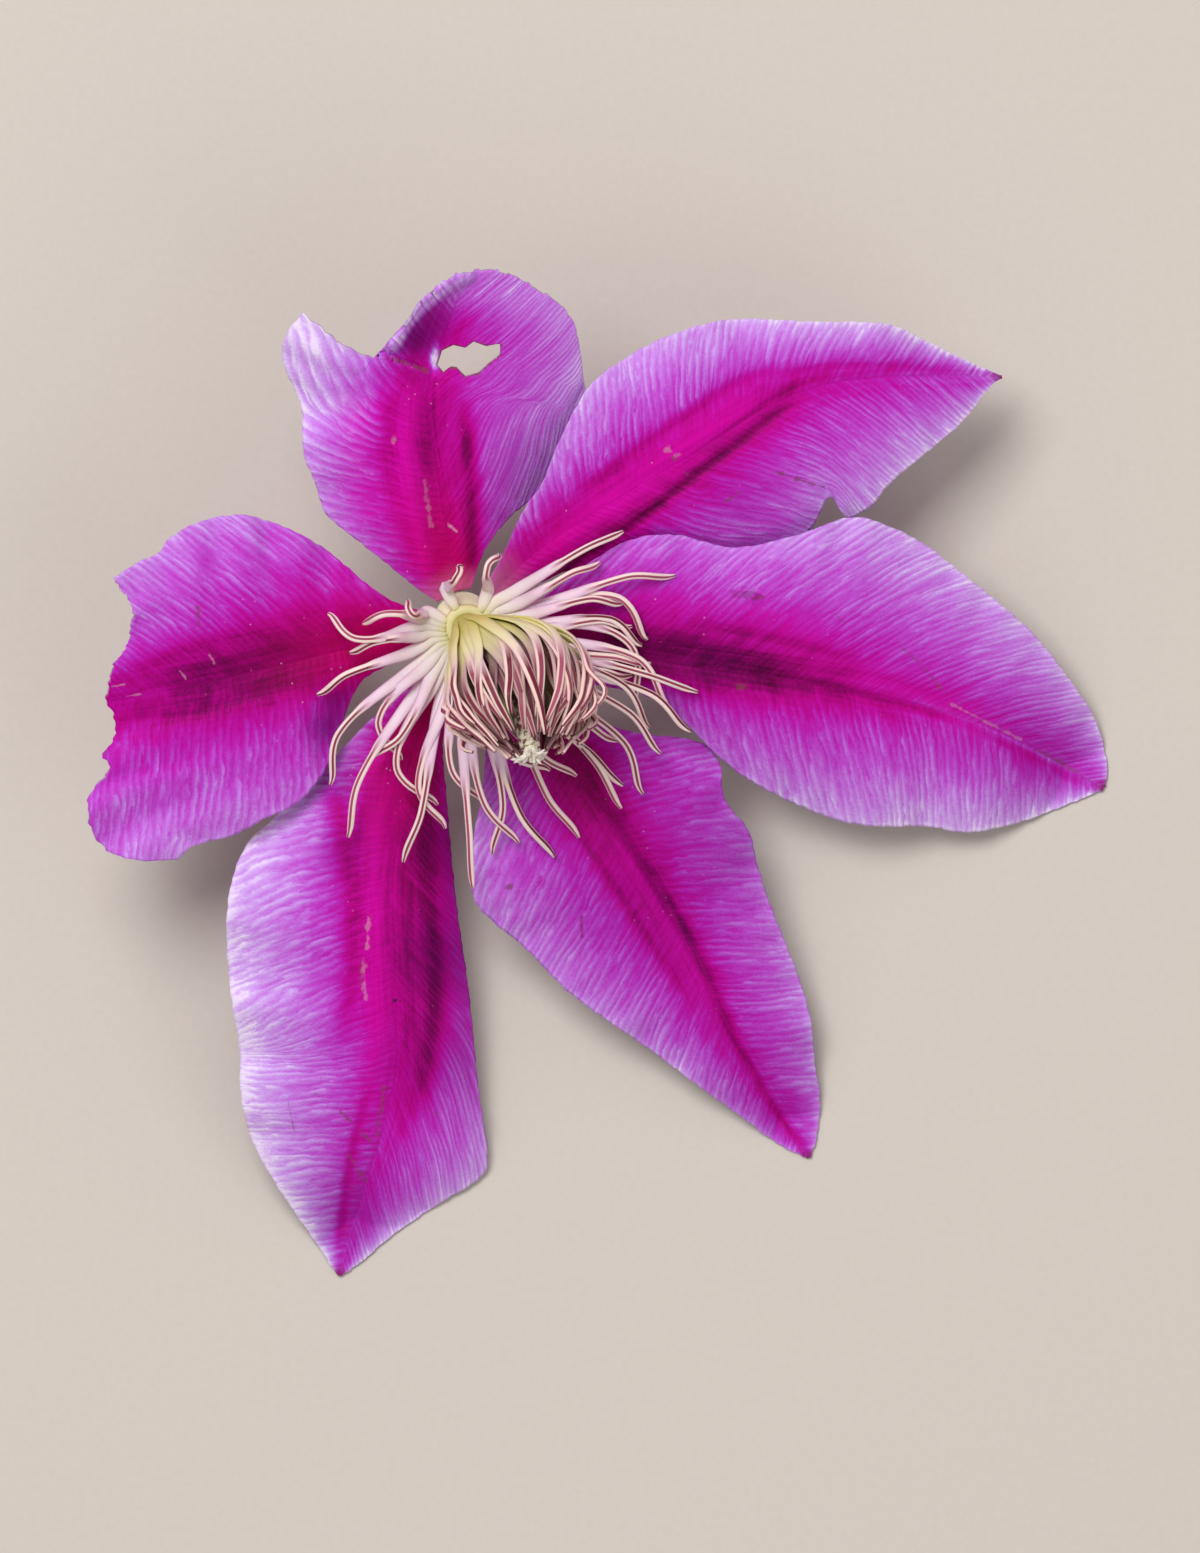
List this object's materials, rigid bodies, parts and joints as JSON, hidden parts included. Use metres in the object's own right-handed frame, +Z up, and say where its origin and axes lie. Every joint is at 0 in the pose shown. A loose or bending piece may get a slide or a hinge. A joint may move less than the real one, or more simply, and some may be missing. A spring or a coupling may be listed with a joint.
{
  "type": "clematis flower",
  "caption": "Large-flowered clematis bloom on a short cut stalk, lying face up: pointed and torn orchid-purple tepals round a drooping tuft of cream and maroon stamens.",
  "frame": {"origin": "middle of the bloom's outline seen from above, on the surface that it lies on", "axes": "+Z up, out of the surface and towards the viewer of the face; +Y towards the top tepal; +X towards the right tepal"},
  "size_m": [0.1147, 0.1135, 0.0431],
  "materials": {
    "tepal": "soft satin plant tissue, orchid purple with a magenta bar and pale lilac margins",
    "stalk": "downy green stalk flushed with purple brown",
    "filament": "flat cream filaments with rose and maroon anthers",
    "anther": "rose and maroon anthers with cream edges on cream filaments",
    "style": "silky cream styles"
  },
  "bodies": {
    "root": {"stalk": "stalk", "tepal_top": "tepal", "tepal_upper_right": "tepal", "tepal_right": "tepal", "tepal_lower_right": "tepal", "tepal_bottom": "tepal", "tepal_left": "tepal", "outer_stamens": "filament", "inner_stamens": "anther", "pistil": "style"}
  },
  "joints": []
}
